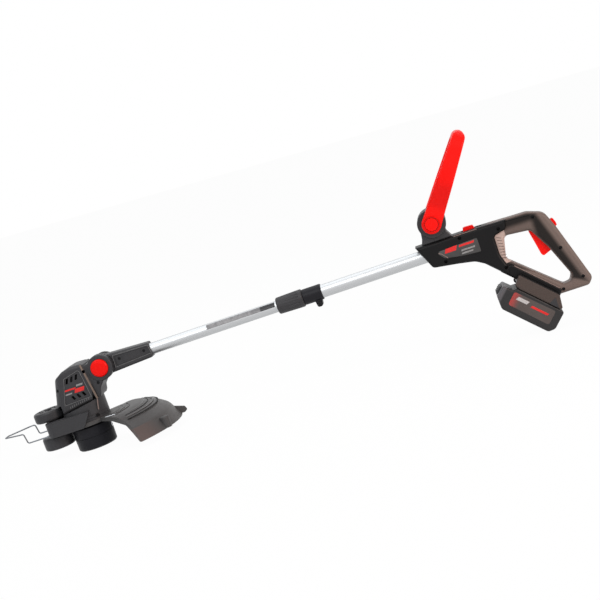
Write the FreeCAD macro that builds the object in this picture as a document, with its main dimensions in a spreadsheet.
"""Cordless string trimmer, resting on the floor as it is put down after use.

Frame: +X runs from the cutting head to the rear handle, +Y to the user's far side, +Z is up.
The origin is on the floor, under the middle of the whole machine.
Most pieces are drawn in the shaft frame: x along the tube from the tilt pivot towards the
handle, z square to the tube, y along the pivot.  One placement then lays the shaft frame down
so that the cutting head and the battery both touch the floor.
"""
import FreeCAD, Part
import math
import os
import Sketcher
from FreeCAD import Placement, Rotation, Vector

doc = FreeCAD.newDocument("StringTrimmer")

# ---------------------------------------------------------------- driving dimensions
DIMENSIONS = [
    # shaft
    ("lower_tube_dia", 22.0, "outer diameter of the sliding lower tube"),
    ("upper_tube_dia", 25.0, "outer diameter of the fixed upper tube"),
    ("tube_wall", 1.2, "wall of both aluminium tubes"),
    ("lower_tube_start", 52.0, "front end of the lower tube, inside the arm socket"),
    ("lower_tube_length", 410.0, "length of the lower tube"),
    ("upper_tube_start", 402.0, "front end of the upper tube, inside the clamp"),
    ("upper_tube_length", 330.0, "length of the upper tube"),
    ("collar_start", 356.5, "front face of the twist collar"),
    ("collar_length", 51.0, "length of the twist collar"),
    ("collar_radius", 17.0, "twist collar over its ridges, at the handle end"),
    ("sleeve_radius", 15.0, "outer radius of the clamp sleeve"),
    ("sleeve_end", 445.0, "handle end of the clamp sleeve"),
    # tilt joint and arm socket
    ("cheek_radius", 25.0, "radius of the head's near cheek round the pivot"),
    ("far_cheek_radius", 22.5, "radius of the head's far cheek"),
    ("cheek_inner", 12.6, "inner face of a cheek, from the middle plane"),
    ("cheek_outer", 30.0, "outer face of the near cheek, from the middle plane"),
    ("far_cheek_outer", 24.0, "outer face of the far cheek, from the middle plane"),
    ("tongue_radius", 21.5, "radius of the arm socket's tongue between the cheeks"),
    ("tongue_half", 12.0, "half thickness of the tongue"),
    ("socket_end", 103.0, "handle end of the arm socket"),
    ("socket_half", 16.0, "half width of the arm socket"),
    ("bolt_radius", 5.0, "radius of the tilt pivot bolt"),
    ("button_radius", 16.8, "radius of the red tilt button"),
    ("button_height", 9.0, "height of the red tilt button"),
    # motor, cutting head
    ("motor_offset", 63.5, "motor axis ahead of the tilt pivot"),
    ("motor_radius", 26.0, "radius of the motor can"),
    ("housing_half", 31.0, "half width of the motor housing"),
    ("base_radius", 43.3, "radius of the round head base"),
    ("base_bottom", 90.0, "underside of the head base below the tube axis"),
    ("spool_radius", 38.6, "radius of the cutting head"),
    ("spool_top", 98.8, "top of the cutting head below the tube axis"),
    ("spool_seam", 121.0, "seam between spool housing and cap"),
    ("spool_bottom", 144.0, "bottom of the cutting head below the tube axis"),
    # guide wheels and bracket
    ("wheel_offset", 134.8, "guide wheel axle ahead of the tilt pivot"),
    ("wheel_radius", 30.0, "radius of the guide wheels"),
    ("wheel_width", 20.0, "width of the upper guide wheel"),
    ("low_wheel_width", 26.0, "width of the lower guide wheel"),
    ("wheel_top", 48.5, "top of the upper wheel below the tube axis"),
    ("bracket_front", 138.5, "front face of the guide bracket ahead of the pivot"),
    ("bracket_half", 50.5, "half width of the guide bracket"),
    ("bracket_height", 28.0, "height of the guide bracket"),
    ("axle_radius", 4.0, "radius of the wheel axle"),
    ("wire_radius", 1.3, "radius of the plant guard's wire"),
    ("wire_spread", 38.0, "half distance between the plant guard's arms"),
    # debris guard
    ("guard_radius", 171.0, "outer radius of the debris guard about the motor axis"),
    ("guard_half_angle", 46.0, "half of the angle that the guard covers"),
    ("guard_collar", 46.0, "radius of the guard's collar under the head base"),
    ("guard_crease", 156.0, "radius of the crease between the guard's roof and skirt"),
    ("guard_wall", 2.6, "wall of the debris guard"),
    ("guard_bottom", 143.0, "lower rim of the guard below the tube axis"),
    # rear handle
    ("body_half", 23.0, "half width of the handle body"),
    ("grip_half", 17.0, "half width of the grip and top bar"),
    ("rail_half", 20.0, "half width of the lower rail"),
    ("foot_half", 37.0, "half width of the battery foot"),
    ("shell_wall", 3.0, "wall of the handle shells"),
    ("hub_x", 678.0, "pivot of the front handle along the tube"),
    ("hub_z", 56.0, "pivot of the front handle above the tube axis"),
    ("hub_radius", 26.4, "radius of the front handle's hub"),
    ("hub_half", 27.0, "half width of the front handle's hub"),
    ("loop_length", 162.5, "front handle from its pivot to the end's centre"),
    ("loop_lean", 35.5, "lean of the front handle back from square to the tube"),
    ("loop_foot_radius", 18.0, "radius of the front handle's ends at the pivot"),
    ("loop_tip_radius", 12.0, "radius of the front handle's far end"),
    ("loop_half", 66.0, "half of the front handle's overall width"),
    ("loop_thick", 13.0, "thickness of the front handle's limbs"),
    # battery
    ("pack_x", 745.8, "front corner of the battery along the tube"),
    ("pack_z", 110.0, "front corner of the battery below the tube axis"),
    ("pack_angle", 45.0, "slope of the battery against the tube"),
    ("pack_length", 121.0, "length of the battery"),
    ("pack_half", 36.5, "half width of the battery"),
    ("pack_drop", 13.5, "battery's underside below its front corner"),
    ("pack_rise", 32.5, "battery's deck above its front corner"),
]

sheet = doc.addObject("Spreadsheet::Sheet", "Dims")
sheet.set("A1", "alias")
sheet.set("B1", "value")
sheet.set("C1", "meaning")
for row, (alias, value, meaning) in enumerate(DIMENSIONS, start=2):
    sheet.set(f"A{row}", alias)
    sheet.set(f"B{row}", str(value))
    sheet.setAlias(f"B{row}", alias)
    sheet.set(f"C{row}", meaning)
doc.recompute()


class Size:
    """A length that knows the spreadsheet expression it comes from."""

    def __init__(self, value, text):
        self.value = float(value)
        self.text = text

    @staticmethod
    def of(other):
        return other if isinstance(other, Size) else Size(other, repr(float(other)))

    def __add__(self, other):
        other = Size.of(other)
        return Size(self.value + other.value, f"({self.text} + {other.text})")

    def __sub__(self, other):
        other = Size.of(other)
        return Size(self.value - other.value, f"({self.text} - {other.text})")

    def __mul__(self, other):
        other = Size.of(other)
        return Size(self.value * other.value, f"({self.text} * {other.text})")

    def __truediv__(self, other):
        other = Size.of(other)
        return Size(self.value / other.value, f"({self.text} / {other.text})")

    def __neg__(self):
        return Size(-self.value, f"(-1 * {self.text})")

    def __radd__(self, other):
        return Size.of(other) + self

    def __rsub__(self, other):
        return Size.of(other) - self

    def __rmul__(self, other):
        return Size.of(other) * self


class Sheet:
    """Reads the spreadsheet: S.name is a Size, N.name is its plain number."""

    def __init__(self, plain):
        self._plain = plain

    def __getattr__(self, alias):
        value = float(getattr(sheet, alias))
        return value if self._plain else Size(value, f"Dims.{alias}")


S = Sheet(plain=False)
N = Sheet(plain=True)

# ---------------------------------------------------------------- places
IN_SHAFT = Placement()
MOTOR_AXIS = Placement(Vector(-N.motor_offset, 0, 0), Rotation())
WHEEL_AXIS = Placement(Vector(-N.wheel_offset, 0, 0), Rotation())
ALONG_TUBE = Placement(Vector(), Rotation(Vector(0, 0, 1), Vector(1, 0, 0)))
PACK = Placement(
    Vector(N.pack_x, 0, -N.pack_z), Rotation(Vector(0, 1, 0), N.pack_angle)
)
HUB = Vector(N.hub_x, 0, N.hub_z)

pieces = {}


def keep(label, obj, local=IN_SHAFT):
    """Registers a finished sub-part and its place in the shaft frame."""
    obj.Label = label
    pieces[label] = (obj, local)
    return obj


# ---------------------------------------------------------------- PartDesign helpers
def new_body(label):
    return doc.addObject("PartDesign::Body", label)


def origin_feature(body, role):
    for feature in body.Origin.OriginFeatures:
        if feature.Role == role:
            return feature
    raise ValueError(role)


def sketch_on(body, name, role="XY_Plane"):
    sketch = body.newObject("Sketcher::SketchObject", body.Name + name)
    sketch.AttachmentSupport = (origin_feature(body, role), [""])
    sketch.MapMode = "FlatFace"
    return sketch


def bind(sketch, constraint, size):
    index = sketch.addConstraint(constraint)
    if isinstance(size, Size):
        sketch.setExpression(f"Constraints[{index}]", size.text)


def draw_outline(sketch, corners):
    """A closed polygon; each corner is bound to its two sizes."""
    spots = [(Size.of(a), Size.of(b)) for a, b in corners]
    first = sketch.GeometryCount
    count = len(spots)
    for i, (a, b) in enumerate(spots):
        c, d = spots[(i + 1) % count]
        start = Vector(a.value, b.value, 0)
        sketch.addGeometry(Part.LineSegment(start, Vector(c.value, d.value, 0)), False)
    for i in range(count):
        following = first + (i + 1) % count
        sketch.addConstraint(Sketcher.Constraint("Coincident", first + i, 2, following, 1))
    for i, (a, b) in enumerate(spots):
        across = Sketcher.Constraint("DistanceX", -1, 1, first + i, 1, a.value)
        bind(sketch, across, a)
        upward = Sketcher.Constraint("DistanceY", -1, 1, first + i, 1, b.value)
        bind(sketch, upward, b)


def draw_circle(sketch, radius, x=0, y=0):
    radius, x, y = Size.of(radius), Size.of(x), Size.of(y)
    circle = Part.Circle(Vector(x.value, y.value, 0), Vector(0, 0, 1), radius.value)
    index = sketch.addGeometry(circle, False)
    bind(sketch, Sketcher.Constraint("Radius", index, radius.value), radius)
    bind(sketch, Sketcher.Constraint("DistanceX", -1, 1, index, 3, x.value), x)
    bind(sketch, Sketcher.Constraint("DistanceY", -1, 1, index, 3, y.value), y)


def pad(body, sketch, length, reverse=False, both_ways=False):
    feature = body.newObject("PartDesign::Pad", sketch.Name + "Pad")
    feature.Profile = sketch
    length = Size.of(length)
    feature.Length = length.value
    feature.setExpression("Length", length.text)
    feature.Reversed = reverse
    if both_ways:
        feature.SideType = "Symmetric"
    doc.recompute()
    return feature


def pocket(body, sketch, length, reverse=False):
    """Cuts the sketch into the body and makes sure that it did cut."""
    before = body.Shape.Volume
    feature = body.newObject("PartDesign::Pocket", sketch.Name + "Pocket")
    feature.Profile = sketch
    length = Size.of(length)
    feature.Length = length.value
    feature.setExpression("Length", length.text)
    feature.Reversed = reverse
    doc.recompute()
    if body.Shape.Volume > before - 0.01:
        raise RuntimeError(f"{feature.Name} cuts nothing")
    return feature


def pocket_through(body, sketch):
    """Cuts the sketch right through the body, to both sides of its plane."""
    cutter = body.newObject("PartDesign::Pocket", sketch.Name + "Pocket")
    cutter.Profile = sketch
    cutter.Type = 1
    cutter.SideType = "Symmetric"
    doc.recompute()
    return cutter


def revolve(body, sketch):
    """Turns a profile drawn in (radius, height) about the sketch's upright axis."""
    feature = body.newObject("PartDesign::Revolution", sketch.Name + "Turn")
    feature.Profile = sketch
    feature.ReferenceAxis = (sketch, ["V_Axis"])
    feature.Angle = 360.0
    doc.recompute()
    return feature


def around(body, feature, count):
    pattern = body.newObject("PartDesign::PolarPattern", feature.Name + "Ring")
    pattern.Originals = [feature]
    pattern.Axis = (origin_feature(body, "Z_Axis"), [""])
    pattern.Angle = 360.0
    pattern.Occurrences = count
    body.Tip = pattern
    doc.recompute()
    return pattern


def turned(label, profile, local):
    """A turned piece: its (radius, height) profile round the local z axis."""
    body = new_body(label)
    sketch = sketch_on(body, "Profile", "XZ_Plane")
    draw_outline(sketch, profile)
    revolve(body, sketch)
    return keep(label, body, local)


def plate(label, outline, thickness, local, role="XZ_Plane"):
    """A flat piece drawn in the middle plane and padded evenly to both sides."""
    body = new_body(label)
    sketch = sketch_on(body, "Outline", role)
    draw_outline(sketch, outline)
    pad(body, sketch, thickness, both_ways=True)
    return keep(label, body, local)


# ---------------------------------------------------------------- Part helpers
def feature(label, shape, local=IN_SHAFT):
    obj = doc.addObject("Part::Feature", label)
    obj.Shape = shape
    return keep(label, obj, local.multiply(shape.Placement))


def rounded_wire(corners):
    """Closed wire in the x-z plane; corners are (x, z) or (x, z, corner radius)."""
    points = [Vector(c[0], 0, c[1]) for c in corners]
    radii = [c[2] if len(c) > 2 else 0.0 for c in corners]
    count = len(points)
    spans = []
    for i, point in enumerate(points):
        if radii[i] == 0:
            spans.append((point, None, point))
            continue
        back = (points[i - 1] - point).normalize()
        ahead = (points[(i + 1) % count] - point).normalize()
        half = back.getAngle(ahead) / 2
        reach = radii[i] / math.tan(half)
        middle = (back + ahead).normalize()
        centre = point + middle * (radii[i] / math.sin(half))
        spans.append((point + back * reach, centre - middle * radii[i], point + ahead * reach))
    edges = []
    for i, (start, bulge, end) in enumerate(spans):
        if bulge is not None:
            edges.append(Part.Arc(start, bulge, end).toShape())
        following = spans[(i + 1) % count][0]
        if (following - end).Length > 1e-6:
            edges.append(Part.LineSegment(end, following).toShape())
    return Part.Wire(edges)


def slab(corners, low, high):
    """Extrudes a rounded outline in the x-z plane from y = low to y = high."""
    face = Part.Face(rounded_wire(corners))
    face.translate(Vector(0, low, 0))
    return face.extrude(Vector(0, high - low, 0))


def box(low, high):
    size = Vector(*high) - Vector(*low)
    return Part.makeBox(size.x, size.y, size.z, Vector(*low))


def rod(radius, start, end):
    start, end = Vector(*start), Vector(*end)
    return Part.makeCylinder(radius, (end - start).Length, start, end - start)


def disc_y(radius, x, z, low, high):
    return rod(radius, (x, low, z), (x, high, z))


def soften(shape, radius, wanted):
    """Rounds every edge whose middle passes the test."""
    edges = [edge for edge in shape.Edges if wanted(edge)]
    return shape.makeFillet(radius, edges)


def middle_of(edge):
    return edge.valueAt((edge.FirstParameter + edge.LastParameter) / 2)


def rim_at(y):
    """Picks the edges that lie wholly at one distance from the middle plane."""

    def wanted(edge):
        spots = [vertex.Point.y for vertex in edge.Vertexes] + [middle_of(edge).y]
        return all(abs(spot - y) < 1e-4 for spot in spots)

    return wanted


def fuse(*shapes):
    return shapes[0].multiFuse(list(shapes[1:])).removeSplitter()


def cut(shape, *tools):
    return shape.cut(list(tools))


def mirrored(shape):
    return shape.mirror(Vector(0, 0, 0), Vector(0, 1, 0))


def both_halves(name, half):
    """half is the near (left) piece, on the -Y side; the right one is its mirror image."""
    feature(name + "_left", half)
    feature(name + "_right", mirrored(half))


def swept(path, radius):
    start = path.Edges[0].Vertexes[0].Point
    heading = path.Edges[0].tangentAt(path.Edges[0].FirstParameter)
    ring = Part.Wire(Part.makeCircle(radius, start, heading))
    return path.makePipeShell([ring], True, True)


def bent_path(points, bend):
    """Straight runs joined by tangent arcs of one bend radius."""
    points = [Vector(*point) for point in points]
    edges = []
    last = points[0]
    for before, corner, after in zip(points, points[1:], points[2:]):
        back = (before - corner).normalize()
        ahead = (after - corner).normalize()
        half = back.getAngle(ahead) / 2
        reach = bend / math.tan(half)
        middle = (back + ahead).normalize()
        centre = corner + middle * (bend / math.sin(half))
        edges.append(Part.LineSegment(last, corner + back * reach).toShape())
        arc = Part.Arc(corner + back * reach, centre - middle * bend, corner + ahead * reach)
        edges.append(arc.toShape())
        last = corner + ahead * reach
    edges.append(Part.LineSegment(last, points[-1]).toShape())
    return Part.Wire(edges)


def coil(radius, wire, length, turns):
    """A helical spring standing on the local x-y plane."""
    helix = Part.makeHelix(length / turns, length, radius)
    ring = Part.Wire(Part.makeCircle(wire, Vector(radius, 0, 0), Vector(0, 1, 0)))
    return Part.Wire(helix.Edges).makePipeShell([ring], True, False)


def screw(head, shank, length, seat, heading):
    """A pan-head screw; seat is under its head and heading is where its shank points."""
    seat, heading = Vector(*seat), Vector(*heading).normalize()
    top = Part.makeCylinder(head, 0.55 * head, seat - heading * 0.55 * head, heading)
    stem = Part.makeCylinder(shank, length, seat - heading * 0.1, heading)
    drive = Part.makeCylinder(0.4 * head, 0.3 * head, seat - heading * 0.56 * head, heading)
    return fuse(top, stem).cut(drive)


def group(shapes):
    return Part.makeCompound(shapes)


# ================================================================ shaft
def make_tubes():
    for name, start in (("lower_tube", S.lower_tube_start), ("upper_tube", S.upper_tube_start)):
        body = new_body(name)
        section = sketch_on(body, "Section")
        outer = S.lower_tube_dia / 2 if name == "lower_tube" else S.upper_tube_dia / 2
        length = S.lower_tube_length if name == "lower_tube" else S.upper_tube_length
        draw_circle(section, outer)
        draw_circle(section, outer - S.tube_wall)
        pad(body, section, length)
        place = Placement(Vector(start.value, 0, 0), ALONG_TUBE.Rotation)
        keep(name, body, place)


def make_twist_collar():
    """Fluted clamping nut with a lip that hides the collet."""
    body = new_body("twist_collar")
    profile = sketch_on(body, "Profile", "XZ_Plane")
    length, radius = S.collar_length, S.collar_radius
    lip = S.lower_tube_dia / 2 + 0.5
    bore = S.upper_tube_dia / 2 + 1.8
    corners = [
        (lip, 0), (radius - 2.5, 0), (radius - 1, 2), (radius, length - 6),
        (radius, length - 1.5), (radius - 1.5, length), (bore, length), (bore, 6), (lip, 6),
    ]
    draw_outline(profile, corners)
    revolve(body, profile)
    flute = sketch_on(body, "Flute")
    turn = math.radians(7)
    reach = radius + 0.6
    draw_circle(flute, 1.6, reach * math.cos(turn), reach * math.sin(turn))
    cutter = pocket(body, flute, length - 7, reverse=True)
    around(body, cutter, 18)
    place = Placement(Vector(N.collar_start, 0, 0), ALONG_TUBE.Rotation)
    keep("twist_collar", body, place)


def make_guide_bush():
    """Slit collet that the collar squeezes onto the lower tube."""
    body = new_body("guide_bush")
    section = sketch_on(body, "Section")
    inner = S.lower_tube_dia / 2 + 0.3
    outer = S.upper_tube_dia / 2 + 1.3
    draw_circle(section, outer)
    draw_circle(section, inner)
    pad(body, section, 30)
    slit = sketch_on(body, "Slit")
    draw_outline(slit, [(inner - 1, -1), (outer + 1, -1), (outer + 1, 1), (inner - 1, 1)])
    around(body, pocket(body, slit, 18, reverse=True), 4)
    place = Placement(Vector(N.collar_start + 8, 0, 0), ALONG_TUBE.Rotation)
    keep("guide_bush", body, place)


def make_clamp_sleeve():
    """Moulded sleeve pinched onto the upper tube by a screwed lug below."""
    radius, end = N.sleeve_radius, N.sleeve_end
    start = N.collar_start + 41
    shoulder = N.collar_start + N.collar_length + 0.6
    tube = N.upper_tube_dia / 2
    barrel = rod(radius, (shoulder, 0, 0), (end, 0, 0))
    barrel = soften(barrel, 1.5, lambda edge: edge.BoundBox.XLength < 1e-6)
    spigot = rod(tube + 1.4, (start, 0, 0), (shoulder + 2, 0, 0))
    lug = slab([(427, -12), (441, -12), (439, -25.5, 4), (429.5, -25.5, 4)], -8, 8)
    bore = rod(tube, (start - 1, 0, 0), (end + 1, 0, 0))
    slit = box((420, -0.8, -30), (end + 1, 0.8, -tube + 1))
    hole = disc_y(2.2, 434.5, -19.5, -9, 9)
    feature("clamp_sleeve", cut(fuse(barrel, spigot, lug), bore, slit, hole))
    feature("clamp_screw", screw(4.0, 2.1, 17.0, (434.5, -8.1, -19.5), (0, 1, 0)))


def make_tube_label():
    """Thin bare label wrapped over the near side of the lower tube."""
    outer = N.lower_tube_dia / 2
    sleeve = rod(outer + 0.15, (216, 0, 0), (352, 0, 0))
    sleeve = sleeve.cut(rod(outer, (215, 0, 0), (353, 0, 0)))
    window = box((216, -outer - 1, -5.5), (352, 0, 9.5))
    feature("tube_label", sleeve.common(window))


def make_arm_socket():
    """Two half shells that grip the lower tube and end in the tongue of the tilt joint."""
    end, half = N.socket_end, N.socket_half
    side = [
        (8, 18.6, 0), (end - 4, 14.6, 3), (end, -10, 3), (end - 4, -14.2, 3), (8, -19.2, 0),
    ]
    block = slab(side, -half, 0)
    block = soften(block, 4.5, rim_at(-half))
    panel_side = [(30, 10.8, 2), (end - 6, 8.6, 2), (end - 6, -6.6, 2), (30, -9.2, 2)]
    panel = slab(panel_side, -half - 1, -half + 1.4)
    rib = slab([(46, 6.2, 1), (end - 22, 5.6, 1), (end - 22, -2.4, 1), (46, -3.6, 1)],
               -half + 0.5, -half + 3)
    hug = disc_y(N.cheek_radius + 0.8, 0, 0, -half - 1, -N.tongue_half)
    tongue = disc_y(N.tongue_radius, 0, 0, -N.tongue_half, 0)
    bore = rod(N.lower_tube_dia / 2, (N.lower_tube_start, 0, 0), (end + 1, 0, 0))
    lead_way = rod(6, (30, 0, 0), (N.lower_tube_start + 1, 0, 0))
    pivot = disc_y(N.bolt_radius + 0.05, 0, 0, -half, 1)
    seat = disc_y(15.2, 0, 0, -N.tongue_half - 1, -N.tongue_half + 8)
    holes = [disc_y(3.1, x, z, -half - 1, -half + 3.4) for x, z, _ in SOCKET_SCREWS]
    shanks = [disc_y(1.5, x, z, -half, reach) for x, z, reach in SOCKET_SCREWS]
    shape = fuse(block.cut(panel), rib)
    shape = cut(shape, hug)
    shape = fuse(shape, tongue)
    shape = cut(shape, bore, lead_way, pivot, seat, *holes, *shanks)
    both_halves("arm_socket", shape)
    screws = []
    for x, z, reach in SOCKET_SCREWS:
        depth = min(reach + half - 3.4, 18.0)
        screws.append(screw(2.8, 1.5, depth, (x, -half + 3.4, z), (0, 1, 0)))
    feature("socket_screws", group(screws))


SOCKET_SCREWS = [(38, 3.4, 1.0), (88.3, 2.6, -11.2)]


# ================================================================ head
def parting_height(x):
    """The joint between motor housing and base slopes down to the front."""
    return -50.0 + 0.16 * (x + 6.0)


HOUSING_SIDE = [
    (-29, 16, 1), (-38, 18.6, 8), (-56, 19.4, 30), (-75, 14.8, 24), (-93, 4.0, 14),
    (-98.5, -6, 26), (-110.5, -46.8, 1.5), (-99, -46.8, 1), (-99, parting_height(-99), 0),
    (-20, parting_height(-20), 0),
]
HOUSING_SCREWS = [(-94.6, -17), (-12.7, -25.8), (-31.8, 3.2)]
FRONT_LEAN = Vector(-12, 0, -41.8)


def leaning_front(inset):
    """Prism whose rounded front corners lean with the front of the motor housing."""
    half, radius = N.housing_half - inset, 22.0 - inset
    front = -88.9 + inset
    plan = [(front, -half, radius), (-10, -half), (-10, half), (front, half, radius)]
    outline = rounded_wire(plan)
    outline.rotate(Vector(), Vector(1, 0, 0), -90)
    face = Part.Face(outline)
    face.translate(Vector(0, 0, 30))
    return face.extrude(FRONT_LEAN * 2.4)


def make_housing_half(cheek_radius, cheek_outer):
    """Half shell of the motor head on the -Y side, with one cheek of the tilt joint."""
    half, wall = N.housing_half, 2.8
    cover = soften(slab(HOUSING_SIDE, -half, 0), 6.0, rim_at(-half))
    cover = cover.common(leaning_front(0))
    web_side = [
        (-17.6, parting_height(-17.6), 0), (-14.4, -47, 4), (-12.4, -37, 10), (2, -20, 0),
        (-4, 16, 0), (-32, 14, 0), (-32, -40, 0), (-26, parting_height(-26), 0),
    ]
    web_rim = rim_at(-cheek_outer + 2)
    web = soften(slab(web_side, -cheek_outer + 2, 0), 2.5,
                 lambda edge: web_rim(edge) and middle_of(edge).x > -20)
    cheek = disc_y(cheek_radius, 0, 0, -cheek_outer, 0)
    cheek = soften(cheek, 2.5, rim_at(-cheek_outer))
    knurls = []
    for step in range(9):
        angle = math.radians(42 + 11 * step)
        x, z = cheek_radius * math.cos(angle), cheek_radius * math.sin(angle)
        knurls.append(disc_y(0.7, x, z, -cheek_outer + 4, -N.cheek_inner - 3))
    seam_bead = slab([(-35.6, 17, 0), (-32.2, 17, 0), (-22.2, parting_height(-22.2), 0),
                      (-25.6, parting_height(-25.6), 0)], -half - 0.9, -half + 1)
    inner_side = Part.Face(rounded_wire(HOUSING_SIDE).makeOffset2D(-wall))
    inner_side.translate(Vector(0, -half + wall, 0))
    cavity = inner_side.extrude(Vector(0, half, 0)).common(leaning_front(wall))
    floor_gap = box((-94, -half + wall + 1.6, -75), (-26, 1, -40))
    panel_side = [
        (-73.5, 1, 5), (-42.4, 8.7, 3), (-39.2, 5, 2), (-34, -46.4, 4), (-89, -48, 5),
    ]
    panel = slab(panel_side, -half - 2, -half + 1.2)
    vents = []
    for x, z in ((-69.5, -4.8), (-59.6, -3.6), (-49.8, -2.2)):
        vents.append(slab([(x - 0.4, z + 4.6, 0.8), (x + 4.6, z + 5.4, 0.8),
                           (x + 0.6, z - 4.6, 0.8), (x - 4.6, z - 5.2, 0.8)],
                          -half - 1, -half + wall + 1))
    for x, z in ((-68, -38.6), (-57, -37.8), (-46, -37)):
        vents.append(slab([(x - 4.2, z + 3.6, 0.8), (x + 0.6, z + 4.4, 0.8),
                           (x + 4.4, z - 3.4, 0.8), (x - 0.6, z - 4.2, 0.8)],
                          -half - 1, -half + wall + 1))
    gap = disc_y(N.cheek_radius + 0.8, 0, 0, -N.cheek_inner, 1)
    neck = box((0, -N.cheek_inner, -19.8), (40, 1, 40))
    button_well = disc_y(N.button_radius + 0.6, 0, 0, -cheek_outer - 3, -cheek_outer + 6.5)
    gear_well = disc_y(15.5, 0, 0, -cheek_outer + 6, -N.cheek_inner + 1)
    holes = [disc_y(3.2, x, z, -half - 2, -half + depth)
             for (x, z), depth in zip(HOUSING_SCREWS, (10, 7, 3.5))]
    shanks = [disc_y(1.4, x, z, -half + 3, 1) for x, z in HOUSING_SCREWS[:2]]
    boss = disc_y(4.2, *HOUSING_SCREWS[0], -half + 1, 0).common(leaning_front(0.4))
    shape = fuse(cover, web, cheek, seam_bead)
    shape = cut(shape, cavity.common(floor_limit()), floor_gap, panel, gap, neck,
                button_well, gear_well, *vents, *knurls)
    return cut(fuse(shape, boss), *holes, *shanks)


def make_motor_housing():
    """The two half shells and the screws that join them."""
    near = make_housing_half(N.cheek_radius, N.cheek_outer)
    far = make_housing_half(N.far_cheek_radius, N.far_cheek_outer)
    feature("motor_housing_left", near)
    feature("motor_housing_right", mirrored(far))
    screws = []
    for (x, z), depth in zip(HOUSING_SCREWS, (10, 7)):
        seat = (x, -N.housing_half + depth, z)
        screws.append(screw(2.9, 1.4, 28.0, seat, (0, 1, 0)))
    feature("head_screws", group(screws))


def floor_limit():
    """Keeps the motor cavity inside the cover, ahead of the tilt joint."""
    return box((-120, -60, -80), (-24, 1, 40))


def make_head_base():
    """Round moulded base under the motor, with a bearing seat in its middle."""
    axis = -N.motor_offset
    top = [(-13, parting_height(-13) - 0.15), (-115, parting_height(-115) - 0.15),
           (-115, -N.base_bottom), (-13, -N.base_bottom)]
    drum = rod(N.base_radius, (axis, 0, -N.base_bottom), (axis, 0, -40))
    wedge = slab(top, -60, 60)
    shape = drum.common(wedge)
    wheel_well = rod(N.wheel_radius + 1.2, (-N.wheel_offset, 0, -N.wheel_top - N.wheel_width - 0.6),
                     (-N.wheel_offset, 0, -30))
    front = box((-120, -60, -N.wheel_top - N.wheel_width - 0.6), (-101.5, 60, -30))
    bore = rod(5.0, (axis, 0, -100), (axis, 0, -30))
    bearing_seat = rod(8.0, (axis, 0, -78), (axis, 0, -72))
    dish = rod(28, (axis, 0, -72), (axis, 0, -30))
    grooves = []
    for level in (-80.5, -86):
        band = rod(N.base_radius + 1, (axis, 0, level), (axis, 0, level + 1.6))
        grooves.append(band.cut(rod(N.base_radius - 0.9, (axis, 0, level - 1), (axis, 0, level + 3))))
    shape = cut(shape, wheel_well, front, bore, bearing_seat, dish, *grooves, *guard_shanks())
    feature("head_base", shape)
    bearing = rod(8.0, (axis, 0, -78), (axis, 0, -72)).cut(rod(4.05, (axis, 0, -79), (axis, 0, -71)))
    feature("shaft_bearing", bearing)


def make_motor():
    """Hollow motor can with vents below, and its rotor on the drive shaft."""
    radius, axis_place = S.motor_radius, MOTOR_AXIS
    top, bottom, wall = 3, -66, 2
    turned("motor_can", [
        (4.6, top), (radius - 3, top), (radius, top - 3), (radius, bottom), (9.5, bottom),
        (9.5, bottom + wall), (radius - wall, bottom + wall), (radius - wall, top - 4),
        (4.6, top - 4),
    ], axis_place)
    body = new_body("motor_rotor")
    section = sketch_on(body, "Section")
    draw_circle(section, radius - 6)
    draw_circle(section, 4)
    pad(body, section, 46)
    slot = sketch_on(body, "Slot")
    draw_outline(slot, [(radius - 11, -1.4), (radius, -1.4), (radius, 1.4), (radius - 11, 1.4)])
    around(body, pocket(body, slot, 46, reverse=True), 7)
    keep("motor_rotor", body, Placement(Vector(-N.motor_offset, 0, -57), Rotation()))
    turned("motor_shaft", [
        (0, 2.5), (4, 2.5), (4, -N.spool_seam), (3, -N.spool_seam - 1), (0, -N.spool_seam - 1),
    ], axis_place)


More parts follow.
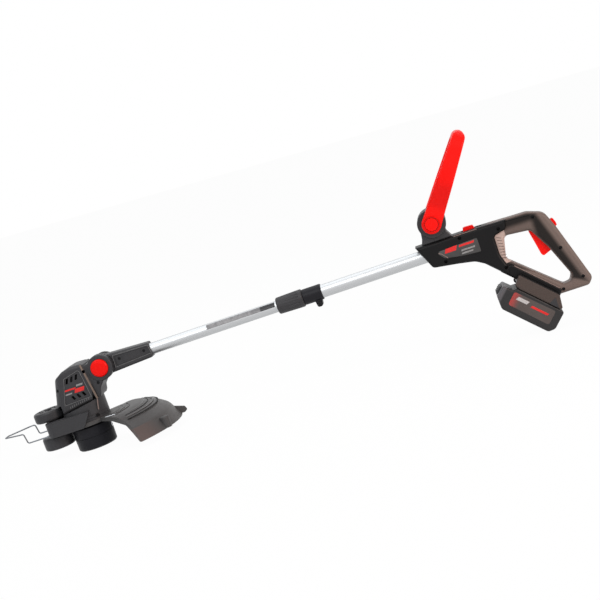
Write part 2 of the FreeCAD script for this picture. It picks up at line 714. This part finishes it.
def make_cutting_head():
    """Spool housing, cap, spool with its wound line, spring and line eyelets."""
    radius, top, seam, bottom = S.spool_radius, -S.spool_top, -S.spool_seam, -S.spool_bottom
    turned("spool_housing", [
        (4, top), (radius - 6, top), (radius, top - 3), (radius, seam + 0.6),
        (radius - 2.6, seam + 0.6), (radius - 2.6, top - 5), (10, top - 5), (10, top - 7),
        (4, top - 7),
    ], MOTOR_AXIS)
    housing = pieces["spool_housing"][0]
    eyelet_hole = sketch_on(housing, "EyeletHole", "YZ_Plane")
    draw_circle(eyelet_hole, 3.6, 0, seam + 8)
    through = pocket_through(housing, eyelet_hole)
    housing.Tip = through
    cap = new_body("spool_cap")
    profile = sketch_on(cap, "Profile", "XZ_Plane")
    draw_outline(profile, [
        (0, bottom + 3), (14, bottom + 3), (16, bottom), (radius - 3, bottom),
        (radius - 0.6, bottom + 2.5), (radius, seam), (radius - 3.4, seam),
        (radius - 3.4, bottom + 4), (6, bottom + 5.5), (0, bottom + 5.5),
    ])
    revolve(cap, profile)
    keep("spool_cap", cap, MOTOR_AXIS)
    turned("line_spool", [
        (5.5, seam + 9), (29, seam + 9), (29, seam + 7), (13, seam + 7), (13, bottom + 9.5),
        (29, bottom + 9.5), (29, bottom + 7.5), (5.5, bottom + 7.5),
    ], MOTOR_AXIS)
    turned("line_winding", [
        (13, seam + 7), (26, seam + 7), (26, bottom + 9.5), (13, bottom + 9.5),
    ], MOTOR_AXIS)
    spring = coil(8.0, 0.8, 4.2, 2.0)
    spring.translate(Vector(-N.motor_offset, 0, -N.spool_seam + 9.9))
    eyelets = []
    for side in (-1, 1):
        middle = -N.motor_offset + side * (N.spool_radius - 3.4)
        centre = Vector(middle, 0, -N.spool_seam + 8)
        outward = Vector(side, 0, 0)
        bush = Part.makeCylinder(3.6, 4.2, centre, outward)
        flange = Part.makeCylinder(4.6, 0.7, centre + outward * 3.4, outward)
        eyelets.append(fuse(bush, flange).cut(Part.makeCylinder(1.6, 6, centre - outward, outward)))
    feature("line_eyelets", group(eyelets))
    feature("spool_spring", spring)


def make_guide_bracket():
    """Block between the two wheels; it hugs the base and guides the wire guard."""
    front, half = N.bracket_front, N.bracket_half
    top = -N.wheel_top - N.wheel_width - 1.0
    bottom = top - N.bracket_height
    plan = [(-front, -half, 20), (-44, -half, 0), (-44, half, 0), (-front, half, 20)]
    wire = rounded_wire(plan)
    wire.rotate(Vector(), Vector(1, 0, 0), -90)
    block = Part.Face(wire)
    block.translate(Vector(0, 0, bottom))
    block = block.extrude(Vector(0, 0, top - bottom))
    rear = slab([(-150, top + 1, 0), (-44, top + 1, 0), (-47, top - 6, 8), (-64, bottom - 1, 0),
                 (-150, bottom - 1, 0)], -half - 1, half + 1)
    block = block.common(rear)
    axis = -N.motor_offset
    hug = fuse(rod(N.base_radius + 0.5, (axis, 0, bottom - 1), (axis, 0, top + 1)),
               rod(N.guard_collar + 0.6, (axis, 0, bottom - 1), (axis, 0, 0.6 - N.base_bottom)))
    axle = rod(N.axle_radius, (-N.wheel_offset, 0, bottom - 1), (-N.wheel_offset, 0, top + 1))
    level = bottom + 4.5
    bores = []
    for side in (-1, 1):
        y = side * N.wire_spread
        bores.append(rod(N.wire_radius + 0.08, (-front - 1, y, level), (-70, y, level)))
    hollow = box((-125, -24, bottom + 5), (-100, 24, top + 1))
    feature("guide_bracket", cut(block, hug, axle, hollow, *bores))
    return level, top, bottom


def make_wheels(bracket_top, bracket_bottom):
    """Two edging wheels on one upright axle, with a ring of hollows in the top faces."""
    low_bottom = bracket_bottom - 1.0 - N.low_wheel_width
    wheels = (("upper_wheel", bracket_top + 1.0, S.wheel_width),
              ("lower_wheel", low_bottom, S.low_wheel_width))
    for name, low, width in wheels:
        body = new_body(name)
        profile = sketch_on(body, "Profile", "XZ_Plane")
        radius, bore = S.wheel_radius, S.axle_radius + 0.08
        draw_outline(profile, [
            (bore, 0), (radius - 4.2, 0), (radius - 1.2, 1.2), (radius, 4.2), (radius, width - 4.2),
            (radius - 1.2, width - 1.2), (radius - 4.2, width), (radius - 6, width), (radius - 6.5, width - 1.2),
            (9.5, width - 1.2), (9, width), (bore, width),
        ])
        revolve(body, profile)
        hollow = sketch_on(body, "Hollow")
        draw_outline(hollow, [(12, -3.2), (radius - 9, -6.2), (radius - 9, 6.2), (12, 3.2)])
        below = pocket(body, hollow, width * 0.35, reverse=True)
        around(body, below, 6)
        place = Placement(Vector(-N.wheel_offset, 0, low), Rotation())
        if name == "upper_wheel":
            place = Placement(Vector(-N.wheel_offset, 0, low + N.wheel_width),
                              Rotation(Vector(1, 0, 0), 180))
        keep(name, body, place)
    axle_top = bracket_top + 1.0 + N.wheel_width
    axle_low = low_bottom
    turned("wheel_axle", [
        (0, axle_low - 2.2), (7, axle_low - 2.2), (7.5, axle_low - 0.4),
        (S.axle_radius, axle_low - 0.4), (S.axle_radius, axle_top + 0.4), (7.5, axle_top + 0.4),
        (6.5, axle_top + 2.2), (0, axle_top + 2.2),
    ], WHEEL_AXIS)


def make_wire_guard(level):
    """One bent steel wire: two arms, a step up, and a rounded nose."""
    spread = N.wire_spread
    near = [
        (-118, -spread, level), (-181, -spread, level), (-184, -spread, level + 19.5),
        (-193, -spread + 3, level + 19.5), (-232, -9, level + 18.5),
    ]
    far = [(x, -y, z) for x, y, z in reversed(near)]
    feature("wire_guard", swept(bent_path(near + far, 4.0), N.wire_radius))


def make_debris_guard():
    """Fan-shaped shell behind the cutting head, with a curved skirt and two side walls."""
    axis, wall, low = -N.motor_offset, N.guard_wall, -N.guard_bottom
    radius, half = N.guard_radius, N.guard_half_angle
    collar = N.guard_collar
    top, crease, fold = -N.base_bottom, CREASE_LEVEL, N.guard_crease

    def arc(a, b, c):
        return Part.Arc(Vector(a[0], 0, a[1]), Vector(b[0], 0, b[1]), Vector(c[0], 0, c[1])).toShape()

    def run(a, b):
        return Part.LineSegment(Vector(a[0], 0, a[1]), Vector(b[0], 0, b[1])).toShape()

    outside = [
        run((collar - 6, top), (84, top - 1.4)),
        arc((84, top - 1.4), (128, top - 8.6), (fold - 2, crease + 2.4)),
        run((fold - 2, crease + 2.4), (fold + 0.6, crease - 0.6)),
        run((fold + 0.6, crease - 0.6), (radius, low)),
    ]
    inside = [
        run((radius, low), (radius - wall - 0.4, low)),
        run((radius - wall - 0.4, low), (fold - wall - 0.4, crease)),
        arc((fold - wall - 0.4, crease), (126.4, top - 11), (84, top - 1.4 - wall)),
        run((84, top - 1.4 - wall), (collar - 6, top - wall)),
        run((collar - 6, top - wall), (collar - 6, top)),
    ]
    section = Part.Face(Part.Wire(outside + inside))
    section.rotate(Vector(), Vector(0, 0, 1), -half)
    fan = section.revolve(Vector(), Vector(0, 0, 1), 2 * half)

    side_corners = [
        (collar - 4, top - 0.6, 0), (84, top - 2, 40), (124, top - 8.8, 60),
        (fold - 3, crease + 1, 0), (radius - 1, low, 0), (radius - 7, low, 3),
        (fold - 7, crease - 8, 14), (134, crease + 7.5, 14), (84, top - 8.5, 30),
        (collar + 2, top - 8, 0),
    ]
    walls = []
    for side in (-1, 1):
        wall_plate = slab(side_corners, -wall / 2, wall / 2)
        wall_plate.translate(Vector(0, -side * wall / 2, 0))
        wall_plate.rotate(Vector(), Vector(0, 0, 1), side * half)
        walls.append(wall_plate)

    plate_disc = rod(collar, (0, 0, top - wall), (0, 0, top))
    hoop = rod(collar, (0, 0, top - 7.5), (0, 0, top)).cut(
        rod(collar - wall, (0, 0, top - 8), (0, 0, top + 1)))
    hole = rod(12, (0, 0, top - 10), (0, 0, top + 10))

    under_skirt = Part.makeCone(radius - wall + 0.6, fold - wall - 1.2, crease - low + 2,
                                Vector(0, 0, low - 1), Vector(0, 0, 1))
    boss_angle = math.radians(-20.5)
    boss_spot = (167 * math.cos(boss_angle), 167 * math.sin(boss_angle))
    boss = rod(8.8, (*boss_spot, low), (*boss_spot, crease - 4))
    boss = soften(boss, 2.5, lambda edge: edge.BoundBox.ZLength < 1e-6 and middle_of(edge).z > low + 1)
    boss = boss.cut(under_skirt)

    lug = slab([(fold, crease - 6, 0), (radius + 9, low + 11, 2), (radius + 12, low + 4, 2),
                (radius + 6, low, 1), (radius - 4, low, 0)], -3, 3)
    lug.rotate(Vector(), Vector(0, 0, 1), 15)
    lug = lug.cut(under_skirt)

    rings = []
    for inner, outer in ((60, 62.5), (70, 72.5), (80, 82)):
        ring = rod(outer, (0, 0, top - 1.6), (0, 0, top - 0.2)).cut(
            rod(inner, (0, 0, top - 2), (0, 0, top + 2)))
        sector = Part.makeCylinder(outer + 1, 6, Vector(0, 0, top - 3), Vector(0, 0, 1), 70)
        sector.rotate(Vector(), Vector(0, 0, 1), -35)
        rings.append(ring.common(sector))
    shape = fuse(fan, plate_disc, hoop, boss, lug, *walls, *rings).cut(hole)
    shape.translate(Vector(axis, 0, 0))
    front_clear = box((-120, -60, -140), (-109.2, 60, -80))
    feature("debris_guard", cut(shape, front_clear, *guard_shanks(), *cutter_rivets()))
    screws = [screw(3.2, 1.6, 10.0, (x, y, top - wall), (0, 0, 1)) for x, y in guard_screw_spots()]
    feature("guard_screws", group(screws))


CREASE_LEVEL = -117.0


def guard_screw_spots():
    """Three screws on a circle round the motor axis."""
    turns = [math.radians(angle) for angle in (60, 180, 300)]
    return [(20 * math.cos(turn) - N.motor_offset, 20 * math.sin(turn)) for turn in turns]


def guard_shanks():
    """The screws' holes through the guard's plate and up into the head base."""
    low = -N.base_bottom - N.guard_wall
    return [rod(1.6, (x, y, low - 0.1), (x, y, low + 10)) for x, y in guard_screw_spots()]


def skirt_inside(level):
    """Radius of the skirt's inner face, which leans out towards the rim."""
    rise = (level + N.guard_bottom) / (N.guard_bottom + CREASE_LEVEL)
    return N.guard_radius - N.guard_wall - 0.4 - (N.guard_radius - N.guard_crease) * rise


def beside_skirt(shape):
    """Turns a shape drawn in the middle plane to the line cutter's place on the skirt."""
    shape.rotate(Vector(), Vector(0, 0, 1), 38)
    shape.translate(Vector(-N.motor_offset, 0, 0))
    return shape


def cutter_rivets():
    level = 14 - N.guard_bottom
    inner = skirt_inside(level)
    rivets = [rod(1.8, (inner - 2.8, y, level), (inner + 1.2, y, level)) for y in (-7, 7)]
    return [beside_skirt(rivet) for rivet in rivets]


def make_line_cutter():
    """Small steel blade on the inside of the skirt that trims the line to length."""
    low = -N.guard_bottom
    foot, head = skirt_inside(low + 3) - 0.45, skirt_inside(low + 20) - 0.45
    blade = slab([(foot - 14, low + 2.5, 0), (foot, low + 2.5, 1), (head, low + 20, 0),
                  (head - 1.4, low + 20, 0), (foot - 1.4, low + 4, 0.6),
                  (foot - 14, low + 3.4, 0)], -11, 11)
    feature("line_cutter", cut(beside_skirt(blade), *cutter_rivets()))
    feature("cutter_rivets", group(cutter_rivets()))


def make_tilt_joint():
    """Pivot bolt, lock gear, spring and the red button that frees the joint."""
    outer = S.far_cheek_outer
    radius, height = S.button_radius, S.button_height
    near = Placement(Vector(0, -N.cheek_outer + 3.5, 0), Rotation(Vector(1, 0, 0), 90))
    turned("tilt_button", [
        (0, 0), (radius - 0.5, 0), (radius, 0.5), (radius, height - 3), (radius - 2.2, height - 0.9),
        (radius - 6, height), (0, height + 0.4),
    ], near)
    body = new_body("lock_gear")
    section = sketch_on(body, "Section")
    draw_circle(section, 13.6)
    draw_circle(section, S.bolt_radius + 0.06)
    pad(body, section, 9)
    tooth = sketch_on(body, "Tooth")
    draw_outline(tooth, [(12.4, -1.3), (14.6, -0.6), (14.6, 0.6), (12.4, 1.3)])
    around(body, pocket(body, tooth, 9, reverse=True), 16)
    keep("lock_gear", body, Placement(Vector(0, -N.cheek_inner - 0.5, 0), Rotation(Vector(1, 0, 0), 90)))
    turned("tilt_bolt", [
        (0, -21.5), (S.bolt_radius, -21.5), (S.bolt_radius, outer - 8), (11, outer - 8),
        (11, outer - 4.5), (0, outer - 4.5),
    ], Placement(Vector(), Rotation(Vector(1, 0, 0), -90)))
    cap = Placement(Vector(0, N.far_cheek_outer - 3.5, 0), Rotation(Vector(1, 0, 0), -90))
    turned("pivot_cap", [
        (0, 0), (radius + 0.4, 0), (radius + 0.4, 4.5), (radius - 2, 6.2), (0, 7),
    ], cap)
    spring = coil(9.5, 0.8, 4.0, 1.75)
    spring.rotate(Vector(), Vector(1, 0, 0), 90)
    spring.translate(Vector(0, -N.tongue_half + 7.1, 0))
    feature("tilt_spring", spring)


# ================================================================ rear handle
BODY_SIDE = [
    (635, 22, 0), (655, -23, 8), (700, -30, 60), (731, -36, 30),
    (748, -46.5, 30), (783, -81.5, 0), (786, -66, 3), (777, -38, 20), (777.5, -3, 6),
    (802, 3, 6), (806, 20, 0), (752, 21.8, 0),
]
RING_OUTER = [
    (752, 22, 0), (846, 19.5, 22), (876, 9, 20), (889, -24, 60), (922.5, -131, 11),
    (913, -143, 9), (843, -143, 0), (745, -45, 0), (745, -30, 0),
]
RING_INNER = [
    (795, -9, 8), (842, -14, 9), (864, -54, 40), (888.5, -114, 8), (883, -125.5, 7),
    (870, -127, 8), (785.5, -50, 10),
]
HANDLE_SCREWS = [
    (853.6, 7.5), (788.6, 8), (717.3, 14.5), (680.4, -18.5), (780.2, -64), (884, -61.5),
    (906.5, -124), (866, -135.5),
]


def grown(corners, amount, low, high):
    face = Part.Face(rounded_wire(corners).makeOffset2D(amount))
    face.translate(Vector(0, low, 0))
    return face.extrude(Vector(0, high - low, 0))


def pack_slab(corners, low, high):
    """A slab drawn in the battery's own frame, brought into the shaft frame."""
    shape = slab(corners, low, high)
    shape.Placement = PACK.multiply(shape.Placement)
    return shape


FOOT_SIDE = [
    (17, 57.5, 4), (20, 36, 3), (30, 33.3, 1), (113, 33.3, 2), (115, 37, 3), (98, 57.5, 5),
]


def make_handle_shells():
    """Half shells of the D handle: body, top bar, grip, lower rail and battery foot."""
    wall = N.shell_wall
    body = soften(slab(BODY_SIDE, -N.body_half, 0), 6.0, rim_at(-N.body_half))
    ring = slab(RING_OUTER, -N.grip_half, 0).cut(slab(RING_INNER, -N.grip_half - 1, 1))
    ring = soften(ring, 7.0, rim_at(-N.grip_half))
    foot = pack_slab(FOOT_SIDE, -N.foot_half, 0)
    foot = soften(foot, 3.0, rim_at(-N.foot_half))
    rail_side = [(-12, 45, 0), (104, 45, 0), (102, 67, 6), (-4, 67, 6)]
    rail = soften(pack_slab(rail_side, -N.rail_half, 0), 5.0, rim_at(-N.rail_half))

    hollow_body = grown(BODY_SIDE, -wall, -N.body_half + wall, 1)
    hollow_ring = grown(RING_OUTER, -wall, -N.grip_half + wall, 1)
    hollow_ring = hollow_ring.cut(grown(RING_INNER, wall, -N.grip_half, 2))
    foot_inside = [(33, 54.5, 2), (35, 44, 1), (95, 44, 1), (93, 54.5, 2)]
    hollow_foot = pack_slab(foot_inside, -N.foot_half + 3, 1)
    neck_slot = pack_slab([(10, 33, 0), (114, 33, 0), (114, 38, 0), (10, 38, 0)], -22.0, 1)
    head_slot = pack_slab([(10, 37, 0), (114, 37, 0), (114, 41.8, 0), (10, 41.8, 0)], -26.5, 1)

    tube_way = rod(N.upper_tube_dia / 2, (630, 0, 0), (740, 0, 0))
    ribs = [box((x, -N.body_half + 1, -18), (x + 2.4, 0, 18)) for x in (662, 690, 718)]

    panel_side = [(668, 3, 4), (748, 5.5, 4), (748.5, -26, 8), (712, -18.5, 20), (684, -17, 5)]
    decal = slab(panel_side, -N.body_half - 1, -N.body_half + 0.9)
    grooves = []
    for offset in (57.5, 61.5):
        grooves.append(pack_slab([(22, offset), (96, offset), (96, offset + 1.4),
                                  (22, offset + 1.4)], -N.rail_half - 1, -N.rail_half + 0.9))
    trigger_slot = slab([(837, -11), (874, -11), (878, -69), (849, -71)], -7.8, 1)
    lock_slot = box((872, -6.4, -30), (895, 1, -4))
    lock_slot.rotate(Vector(884, 0, -15), Vector(0, 1, 0), -17)
    slide_slot = box((724, -6.3, 16), (762, 1, 26))
    holes = [disc_y(3.3, x, z, -60, -10.5) for x, z in HANDLE_SCREWS]

    solid = fuse(body, ring, foot, rail)
    shape = cut(solid, hollow_body, hollow_ring, hollow_foot, neck_slot, head_slot)
    ribs_in = [rib.common(grown(BODY_SIDE, -1, -N.body_half + 1, 0)) for rib in ribs]
    shape = fuse(shape, *ribs_in)
    bosses = [disc_y(5.2, x, z, -N.body_half, 0) for x, z in HANDLE_SCREWS]
    shanks = [disc_y(1.4, x, z, -10.6, 1) for x, z in HANDLE_SCREWS]
    terminal_window = pack_slab([(76, 41.5, 0), (92, 41.5, 0), (92, 44.5, 0), (76, 44.5, 0)], -18, 1)
    inside_solid = [boss.common(solid) for boss in bosses]
    shape = fuse(shape, *inside_solid)
    shape = cut(shape, tube_way, decal, trigger_slot, lock_slot, slide_slot, terminal_window,
                *grooves, *holes, *shanks)
    both_halves("handle_shell", shape)
    screws = []
    for x, z in HANDLE_SCREWS:
        screws.append(screw(2.9, 1.4, 18.0, (x, -10.5, z), (0, 1, 0)))
    feature("handle_screws", group(screws))


def make_front_handle():
    """Hub on top of the handle body and the red loop that turns on it."""
    x, z, radius, half = N.hub_x, N.hub_z, N.hub_radius, N.hub_half
    drum = soften(disc_y(radius, x, z, -half, half), 2.0, lambda edge: abs(middle_of(edge).y) > half - 0.1)
    foot_side = [(648, 21.7, 0), (652, 33, 5), (655, z, 0), (697, z, 0), (699, 34, 6), (706, 21.7, 0)]
    foot = soften(slab(foot_side, -18, 18), 2.5, lambda edge: abs(middle_of(edge).y) > 17.9)
    shape = fuse(drum, foot)
    waist = [disc_y(radius + 1, x, z, side * 12 - 1.2, side * 12 + 1.2).cut(
        disc_y(radius - 1.6, x, z, -20, 20)) for side in (-1, 1)]
    below = box((630, -30, 10), (720, 30, 22.1))
    shape = cut(shape, disc_y(4.05, x, z, -half - 1, half + 1), below, *waist)
    feature("hub_mount", shape)

    length, foot_radius, tip_radius = N.loop_length, N.loop_foot_radius, N.loop_tip_radius
    slope = math.asin((foot_radius - tip_radius) / length)
    run_in = foot_radius * math.cos(slope), foot_radius * math.sin(slope)
    run_out = tip_radius * math.cos(slope), length + tip_radius * math.sin(slope)
    low_arc = Part.Arc(Vector(-run_in[0], 0, run_in[1]), Vector(0, 0, -foot_radius),
                       Vector(run_in[0], 0, run_in[1]))
    top_arc = Part.Arc(Vector(run_out[0], 0, run_out[1]), Vector(0, 0, length + tip_radius),
                       Vector(-run_out[0], 0, run_out[1]))
    right = Part.LineSegment(low_arc.EndPoint, top_arc.StartPoint)
    left = Part.LineSegment(top_arc.EndPoint, low_arc.StartPoint)
    side_view = Part.Face(Part.Wire([edge.toShape() for edge in (low_arc, right, top_arc, left)]))
    side_view.translate(Vector(0, -100, 0))
    blade = side_view.extrude(Vector(0, 200, 0))

    inner, thick, wide = half + 0.5, N.loop_thick, N.loop_half
    top = length + tip_radius + 0.5
    front_corners = [
        (inner, -30, 0), (inner + thick, -30, 0), (inner + thick, 30, 30), (wide, 78, 40),
        (wide, top, 34), (-wide, top, 34), (-wide, 78, 40), (-inner - thick, 30, 30),
        (-inner - thick, -30, 0), (-inner, -30, 0), (-inner, 24, 30), (thick - wide, 74, 30),
        (thick - wide, top - thick - 6, 22), (wide - thick, top - thick - 6, 22),
        (wide - thick, 74, 30), (inner, 24, 30),
    ]
    loop = slab(front_corners, -60, 60)
    loop.rotate(Vector(), Vector(0, 0, 1), 90)
    handle = blade.common(loop).removeSplitter()
    handle = soften(handle, 3.2, lambda edge: abs(middle_of(edge).y) > 20 or middle_of(edge).z > 90)
    bore = disc_y(4, 0, 0, -60, 60)
    well = disc_y(14.7, 0, 0, -inner - thick - 1, -inner - thick + 8.6)
    far_well = disc_y(9.0, 0, 0, inner + thick - 4, inner + thick + 1)
    lean = Placement(HUB, Rotation(Vector(0, 1, 0), N.loop_lean))
    feature("front_handle", cut(handle, bore, well, far_well), lean)

    turned("hub_bolt", [
        (0, -inner - thick + 9), (4, -inner - thick + 9), (4, inner + thick - 4),
        (8.5, inner + thick - 4), (8.5, inner + thick - 1), (0, inner + thick - 1),
    ], Placement(HUB, Rotation(Vector(1, 0, 0), -90)))
    button = new_body("hub_button")
    disc = sketch_on(button, "Disc")
    draw_circle(disc, 14.3)
    pad(button, disc, 7)
    notch = sketch_on(button, "Notch")
    draw_outline(notch, [(11.6, -0.9), (13, -0.9), (13, 0.9), (11.6, 0.9)])
    around(button, pocket(button, notch, 9, reverse=True), 12)
    keep("hub_button", button, Placement(HUB + Vector(0, -inner - thick + 5.2, 0),
                                         Rotation(Vector(1, 0, 0), 90)))


def make_controls():
    """Trigger with its switch, lock-off button, speed slide, board and motor lead."""
    plate("trigger", [
        (840, -13), (839.5, -18), (844, -40), (848.2, -62), (850, -65.5), (853, -66.5),
        (866, -61.5), (869, -55), (866, -30), (868, -10), (860, -2), (850, -2),
    ], 14.4, IN_SHAFT)
    pin = disc_y(2.0, 857, -7, -13.9, 13.9)
    feature("trigger_pin", pin)
    trigger = pieces["trigger"][0]
    bore = sketch_on(trigger, "Bore", "XZ_Plane")
    draw_circle(bore, 2.05, 857, -7)
    trigger.Tip = pocket_through(trigger, bore)
    switch = fuse(box((875, -5, -47), (885.5, 5, -29)), box((871, -2, -35), (875.2, 2, -31)))
    feature("trigger_switch", switch)
    grip = Placement(Vector(885.8, 0, -15), Rotation(Vector(0, 1, 0), -17))
    plate("lock_button", [
        (-9, -6), (-3, -6), (-3, -8), (0, -8), (3.6, -7), (4.6, -2), (4.2, 6), (2.5, 8),
        (-3, 8), (-3, 6), (-9, 6),
    ], 11.6, grip)
    rail = Placement(Vector(738, 0, 21.5), Rotation())
    plate("speed_slide", [
        (-11, 0.6), (-9.5, 6.6), (-5, 7.2), (9, 6.2), (11, 0.6), (11, -1.2), (6, -1.2), (6, -5.5),
        (-6, -5.5), (-6, -1.2), (-11, -1.2),
    ], 11.8, rail)
    board = box((738, 4, -28), (770, 5.6, 10))
    parts = [box((742, 5.6, -20), (753, 13, -6)), box((757, 5.6, -2), (769, 11, 6)),
             rod(4.5, (762, 5.6, -18), (762, 16, -18)), rod(3.0, (748, 5.6, 2), (748, 14, 2))]
    feature("control_board", fuse(board, *parts))
    feature("motor_lead", rod(8.0, (668, 0, 0), (728, 0, 0)))
    block = pack_slab([(76, 42.6, 0), (92, 42.6, 0), (90, 53.5, 0), (76, 53.5, 0)], -18, 18)
    blades = [pack_slab([(79, 35, 0), (91, 35, 0), (91, 44, 0), (79, 44, 0)], y - 0.5, y + 0.5)
              for y in (-12, -4, 4, 12)]
    feature("terminal_block", fuse(block, *blades))


PACK_SIDE = [
    (0, 3, 4), (1, 25.5, 4), (20, 26, 3), (26, N.pack_rise, 3), (N.pack_length, N.pack_rise, 5),
    (N.pack_length, -3, 10), (N.pack_length - 9, -N.pack_drop, 9), (18, -N.pack_drop, 10),
]


def make_battery():
    """Battery: tub, cover with its rails, ten cells, side panels, latch and screws."""
    half, deck = N.pack_half, N.pack_rise
    seam = deck - 3.4
    solid = soften(slab(PACK_SIDE, -half, half), 3.5, lambda edge: abs(middle_of(edge).y) > half - 0.1
                   and all(abs(abs(v.Point.y) - half) < 1e-4 for v in edge.Vertexes))
    inside_face = Part.Face(rounded_wire(PACK_SIDE).makeOffset2D(-2.4))
    inside_face.translate(Vector(0, -half + 2.4, 0))
    inside = inside_face.extrude(Vector(0, 2 * half - 4.8, 0))
    label_side = [(24, -0.5, 4), (24, 25.5, 4), (106.5, 26.5, 4), (106.5, -1.5, 4)]
    wells = [slab(label_side, -half - 1, -half + 0.9), slab(label_side, half - 0.9, half + 1)]
    latch_well = box((-3, -19, 5), (7.5, 19, 21.6))
    corners = [(u, side * 29) for u in (40.3, 96.1) for side in (-1, 1)]
    sunk = [rod(3.0, (u, y, -N.pack_drop - 1), (u, y, -N.pack_drop + 1.6)) for u, y in corners]
    screws = [screw(2.7, 1.3, 7.0, (u, y, -N.pack_drop + 1.6), (0, 0, 1)) for u, y in corners]
    pilots = [rod(1.3, (u, y, -N.pack_drop - 1), (u, y, -N.pack_drop + 9)) for u, y in corners]
    solid = solid.cut(sunk + pilots)
    lower = solid.common(box((-5, -60, -30), (140, 60, seam)))
    upper = solid.common(box((-5, -60, seam + 0.15), (140, 60, 60)))
    case = cut(lower, inside, latch_well, *wells)
    latch_pocket = box((0.2, -21, 3), (9.5, 21, 23.4)).cut(box((-5, -19, 5), (7.5, 19, 21.6)))
    latch_pocket = latch_pocket.common(lower)
    case = fuse(case, latch_pocket)
    neck = box((28, -21.4, deck - 1), (110, 21.4, 37.6))
    head = box((28, -25.9, 37.4), (110, 25.9, 41))
    slots = [box((70, y - 1.6, 34), (111, y + 1.6, 42)) for y in (-12, -4, 4, 12)]
    cover = cut(fuse(upper.cut(inside), neck, head), *slots)
    feature("battery_case", case, PACK)
    feature("battery_cover", cover, PACK)
    cells = []
    for row_w in (1.2, 19.8):
        for step in range(5):
            u = 31.0 + 18.6 * step
            cells.append(disc_y(8.9, u, row_w, -32.5, 32.5))
    feature("battery_cells", group(cells), PACK)
    panels = [slab(label_side, -half + 0.1, -half + 0.9), slab(label_side, half - 0.9, half - 0.1)]
    feature("battery_panels", group(panels), PACK)
    latch = box((-2.4, -18.5, 5.5), (2.2, 18.5, 21.1))
    ridges = [box((-3.6, -15, level), (-2.3, 15, level + 1.4)) for level in (7.5, 10.9, 14.3, 17.7)]
    feature("battery_screws", group(screws), PACK)
    feature("battery_latch", fuse(soften(latch, 1.2, lambda edge: middle_of(edge).x < -2.3), *ridges), PACK)


def build():
    make_tubes()
    make_twist_collar()
    make_guide_bush()
    make_clamp_sleeve()
    make_tube_label()
    make_arm_socket()
    make_motor_housing()
    make_head_base()
    make_motor()
    make_cutting_head()
    level, top, bottom = make_guide_bracket()
    make_wheels(top, bottom)
    make_wire_guard(level)
    make_debris_guard()
    make_line_cutter()
    make_tilt_joint()
    make_handle_shells()
    make_front_handle()
    make_controls()
    make_battery()


def resting_place():
    """Lays the shaft frame down: cutting head and battery touch the floor, machine centred."""
    outline = {}
    for label in ("spool_cap", "battery_case", "wire_guard", "handle_shell_left"):
        obj, local = pieces[label]
        obj.Placement = local
        outline[label] = obj.Shape.tessellate(0.05)[0]

    def drop(label, slope):
        """Lowest height of a piece once the tube rises by the slope towards the handle."""
        return min(p.z * math.cos(slope) + p.x * math.sin(slope) for p in outline[label])

    low, high = 0.0, math.radians(10)
    for _ in range(40):
        slope = (low + high) / 2
        if drop("battery_case", slope) < drop("spool_cap", slope):
            low = slope
        else:
            high = slope
    floor = drop("spool_cap", slope)
    spots = [p for cloud in outline.values() for p in cloud]
    along = [p.x * math.cos(slope) - p.z * math.sin(slope) for p in spots]
    middle = (min(along) + max(along)) / 2
    print(f"slope {math.degrees(slope):.3f} deg, pivot at x {-middle:.3f} z {-floor:.3f}")
    return Placement(Vector(-middle, 0, -floor), Rotation(Vector(0, 1, 0), -math.degrees(slope)))


def finish():
    doc.recompute()
    os.makedirs("parts", exist_ok=True)
    rest = resting_place()
    for obj, local in pieces.values():
        obj.Placement = rest.multiply(local)
    doc.recompute()
    for obj in doc.Objects:
        if "Invalid" in obj.State or "Error" in obj.State:
            raise RuntimeError(f"{obj.Label}: {obj.State}")
    for label, (obj, local) in pieces.items():
        shape = obj.Shape
        if shape.isNull() or not shape.isValid():
            raise RuntimeError(f"{label} has no valid shape")
        print(f"{label:24s} {len(shape.Solids)} solids {shape.Volume / 1000:9.2f} cm3")
        shape.exportStep(f"parts/{label}.step")


build()
finish()
